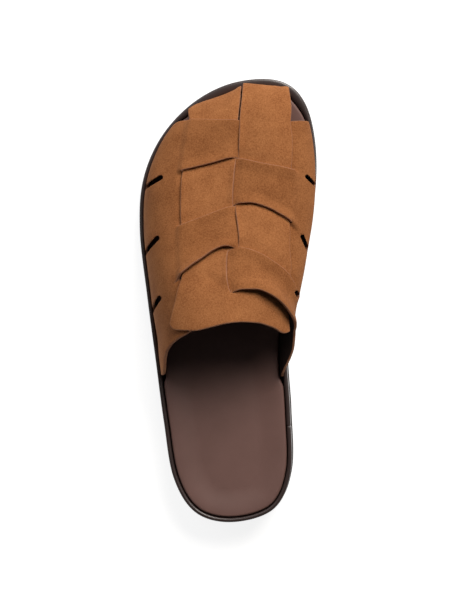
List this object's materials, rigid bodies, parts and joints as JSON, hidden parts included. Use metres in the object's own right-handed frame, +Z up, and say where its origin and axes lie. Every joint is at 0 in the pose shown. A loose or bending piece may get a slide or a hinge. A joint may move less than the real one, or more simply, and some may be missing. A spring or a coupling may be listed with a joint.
{
  "type": "mule",
  "caption": "Man's slip-on mule, left shoe: an open-backed suede upper woven from wide bands and straps, on a leather-wrapped footbed with a raised rim and a rubber outsole.",
  "frame": {"origin": "centre of the bounding box in plan, on the plane the shoe stands on", "axes": "+Y from heel to toe, +X to the big-toe side, +Z up"},
  "size_m": [0.1149, 0.2854, 0.087],
  "materials": {
    "outsole_rubber": "matt moulded rubber, very dark brown",
    "wrap_leather": "smooth dark brown leather wrap, slight sheen",
    "insole_leather": "smooth brown leather, satin",
    "suede": "tan suede with a short mottled nap"
  },
  "bodies": {
    "root": {"outsole": "outsole_rubber", "midsole": "wrap_leather", "insole": "insole_leather", "upper": "suede"}
  },
  "joints": []
}
